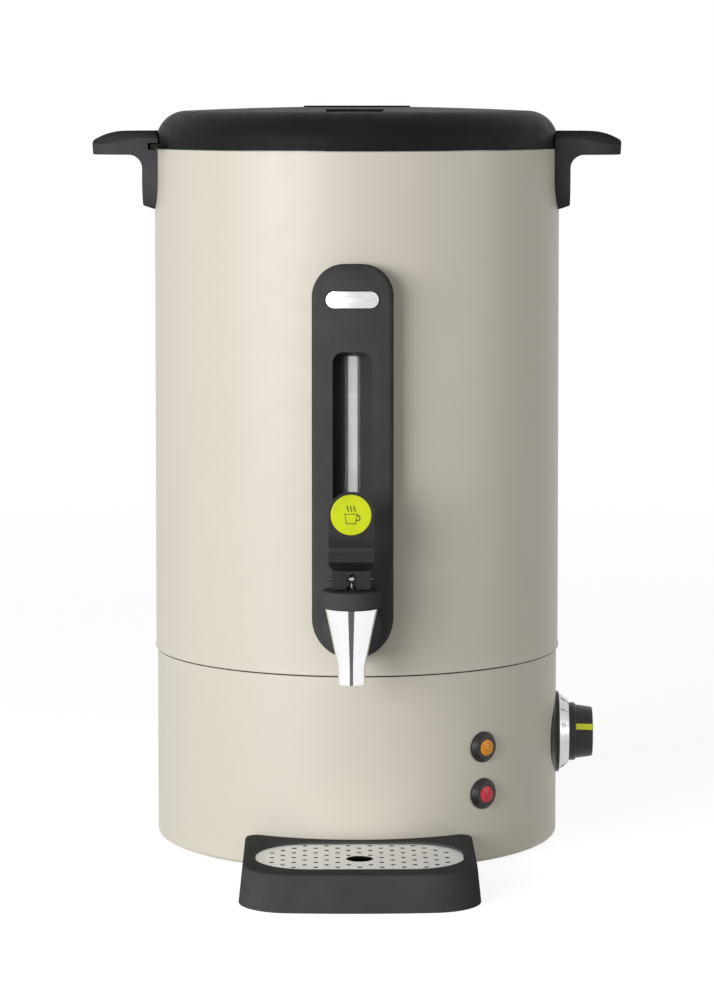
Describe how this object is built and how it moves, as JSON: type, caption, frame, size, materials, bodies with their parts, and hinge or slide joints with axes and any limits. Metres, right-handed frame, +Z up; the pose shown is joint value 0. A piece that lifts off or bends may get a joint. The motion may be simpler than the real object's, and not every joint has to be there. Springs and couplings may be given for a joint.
{
  "type": "hot beverage boiler",
  "caption": "Tall round double-walled urn with a twist-lock lid, side handles, front panel with level tube and lever tap, thermostat knob, lamps and a loose drip tray.",
  "frame": {"origin": "on the table, in the middle of the object's footprint box", "axes": "+Z up along the urn's axis, -Y towards the tap and drip tray, +X towards the thermostat knob"},
  "size_m": [0.3516, 0.3881, 0.4898],
  "materials": {
    "body_paint": "satin warm grey lacquer",
    "black_plastic": "fine satin",
    "lid_plastic": "satin, a little glossier than the handles",
    "stainless": "brushed",
    "steel": "zinc plated",
    "chrome": "polished",
    "badge_metal": "brushed, bare",
    "lime_plastic": "satin lime",
    "silver_plastic": "silver lacquer",
    "clear_glass": "clear",
    "white_plastic": "white",
    "amber_plastic": "clear amber",
    "red_plastic": "clear red",
    "silicone": "translucent white",
    "black_rubber": "matt",
    "aluminium": "cast",
    "ceramic": "unglazed",
    "copper": "bare copper",
    "wire_jacket": "silicone jacket"
  },
  "bodies": {
    "boiler": {"outer_shell": "body_paint", "base_skirt": "body_paint", "joint_ring": "black_plastic", "tank": "stainless", "heater_plate": "aluminium", "heater_element": "steel", "heater_nut": "steel", "base_plate": "steel", "rubber_feet": "black_rubber", "tie_rods": "steel", "base_fasteners": "steel", "handle_right": "black_plastic", "handle_left": "black_plastic", "jacket_screws": "steel", "front_panel": "black_plastic", "badge_plate": "badge_metal", "gauge_tube": "clear_glass", "gauge_strip": "white_plastic", "gauge_cap": "black_plastic", "gauge_tee": "black_plastic", "tap_body": "chrome", "inlet_shank": "chrome", "inlet_gaskets": "silicone", "wall_spacer": "black_plastic", "shank_nut": "steel", "tap_bonnet": "black_plastic", "valve_spring": "steel", "dial_flange": "black_plastic", "dial_ring": "silver_plastic", "thermostat": "ceramic", "thermostat_bracket": "steel", "dial_screws": "steel", "thermostat_bulb": "copper", "cutout_bulb": "copper", "bulb_clips": "steel", "amber_bezel": "black_plastic", "amber_lens": "amber_plastic", "red_bezel": "black_plastic", "red_lens": "red_plastic", "lamp_fittings": "white_plastic", "gland_body": "black_plastic", "gland_fittings": "black_plastic", "gland_seal": "black_rubber", "terminal_block": "ceramic", "thermal_cutout": "ceramic", "wiring": "wire_jacket"},
    "lid_gasket": {"lid_seal": "silicone"},
    "lid": {"lid_cover": "lid_plastic", "lid_liner": "stainless"},
    "stem": {"valve_stem": "steel", "lever_pin": "steel", "seat_cup": "silicone"},
    "lever": {"tap_lever": "black_plastic", "lever_disc": "lime_plastic"},
    "knob": {"knob": "black_plastic", "knob_pointer": "lime_plastic", "thermostat_shaft": "steel"},
    "tray": {"drip_tray": "black_plastic"},
    "grille": {"drip_grille": "stainless"},
    "reset": {"reset_button": "white_plastic"}
  },
  "joints": [
    {"name": "lid_lift", "type": "slide", "parent": "boiler", "child": "lid_gasket", "axis": [0, 0, 1], "range_m": [0, 0.16]},
    {"name": "lid_turn", "type": "hinge", "parent": "lid_gasket", "child": "lid", "pos_m": [0, 0.048, 0.4615], "axis": [0, 0, 1], "range_deg": [-12, 0]},
    {"name": "stem_lift", "type": "slide", "parent": "boiler", "child": "stem", "axis": [0, 0, 1], "range_m": [0, 0.0042], "stiffness_N_per_m": 200, "springref_m": -0.002, "deforming": ["valve_spring"]},
    {"name": "lever_tilt", "type": "hinge", "parent": "stem", "child": "lever", "pos_m": [0, -0.13, 0.196], "axis": [1, 0, 0], "range_deg": [0, 36]},
    {"name": "knob_turn", "type": "hinge", "parent": "boiler", "child": "knob", "pos_m": [0.142, 0.048, 0.0685], "axis": [-1, 0, 0], "range_deg": [0, 270]},
    {"name": "tray_slide", "type": "slide", "parent": "boiler", "child": "tray", "axis": [0.0279, -0.9996, 0], "range_m": [0, 0.13]},
    {"name": "grille_lift", "type": "slide", "parent": "tray", "child": "grille", "axis": [0, 0, 1], "range_m": [0, 0.05]},
    {"name": "reset_press", "type": "slide", "parent": "boiler", "child": "reset", "axis": [0, 0, 1], "range_m": [0, 0.002], "stiffness_N_per_m": 300}
  ],
  "couplings": [
    {"joint": "lever_tilt", "follows": "stem_lift", "rad_per_m": 142.86}
  ]
}
